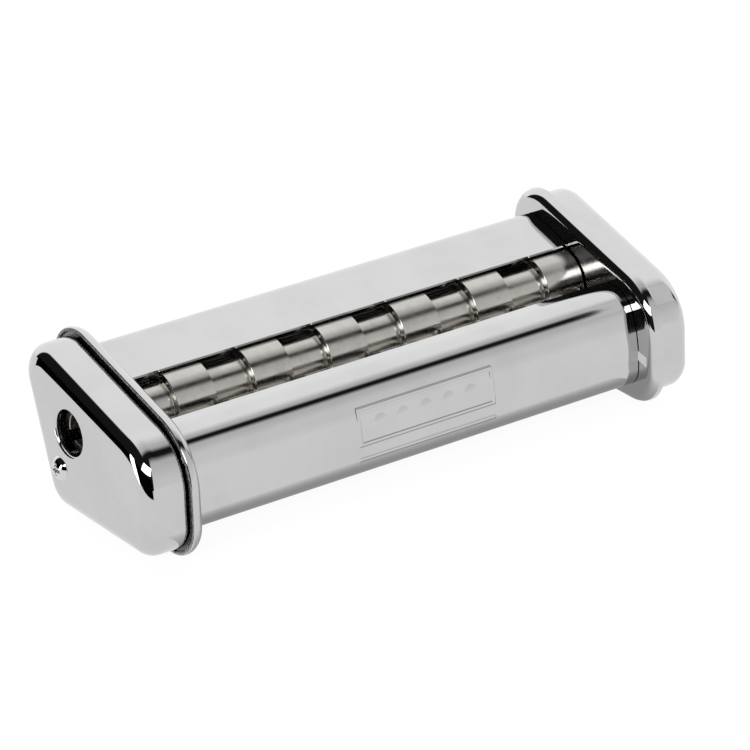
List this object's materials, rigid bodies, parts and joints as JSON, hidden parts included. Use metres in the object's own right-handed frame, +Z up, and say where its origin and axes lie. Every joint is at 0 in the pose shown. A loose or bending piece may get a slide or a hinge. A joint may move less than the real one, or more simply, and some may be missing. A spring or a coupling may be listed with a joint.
{
  "type": "pasta cutting attachment",
  "caption": "Wide-ribbon cutting attachment for a hand-cranked pasta machine: interleaved rollers, combs and gears between chromed cheeks, with a crank socket.",
  "frame": {"origin": "on the table, under the middle of the whole attachment", "axes": "+X along the rollers from the crank socket to the gears, +Y from the front cover to the rear cover, +Z up"},
  "size_m": [0.1784, 0.0626, 0.0466],
  "materials": {
    "chromed_sheet": "mirror-bright chrome plate on pressed steel sheet",
    "nickel_roller": "finely turned, nickel-plated steel",
    "bright_steel": "ground steel",
    "gear_steel": "machined steel, lightly greased",
    "zinc_steel": "bright zinc-plated steel",
    "spring_steel": "dark phosphated spring steel",
    "chromed_screw": "polished, chrome-plated steel",
    "bearing_plastic": "off-white nylon",
    "comb_sheet": "plain stainless sheet"
  },
  "bodies": {
    "housing": {"left_cheek": "chromed_sheet", "right_cheek": "chromed_sheet", "left_cap": "chromed_sheet", "right_cap": "chromed_sheet", "front_cover": "chromed_sheet", "rear_cover": "chromed_sheet", "left_cap_screw": "chromed_screw", "right_cap_screw": "chromed_screw", "left_clinch_nut": "zinc_steel", "right_clinch_nut": "zinc_steel", "left_driving_bush": "bearing_plastic", "right_driving_bush": "bearing_plastic", "left_driven_bush": "bearing_plastic", "right_driven_bush": "bearing_plastic", "front_comb": "comb_sheet", "rear_comb": "comb_sheet", "front_comb_rod": "zinc_steel", "rear_comb_rod": "zinc_steel", "upper_tie_rod": "zinc_steel", "tie_rod_nuts": "zinc_steel", "tie_rod_washers": "zinc_steel"},
    "driving_roller": {"driving_roller": "nickel_roller", "crank_socket": "nickel_roller", "socket_pin": "bright_steel", "driving_gear": "gear_steel", "driving_gear_washer": "zinc_steel", "driving_gear_ring": "spring_steel"},
    "driven_roller": {"driven_roller": "nickel_roller", "driven_gear": "gear_steel", "driven_gear_washer": "zinc_steel", "driven_gear_ring": "spring_steel", "left_end_washer": "zinc_steel", "left_end_ring": "spring_steel"}
  },
  "joints": [
    {"name": "driving_roller_spin", "type": "hinge", "parent": "housing", "child": "driving_roller", "pos_m": [0, 0.0078, 0.0255], "axis": [1, 0, 0], "continuous": true},
    {"name": "driven_roller_spin", "type": "hinge", "parent": "housing", "child": "driven_roller", "pos_m": [0, -0.0094, 0.0202], "axis": [1, 0, 0], "continuous": true}
  ],
  "couplings": [
    {"joint": "driven_roller_spin", "follows": "driving_roller_spin", "ratio": -1}
  ]
}
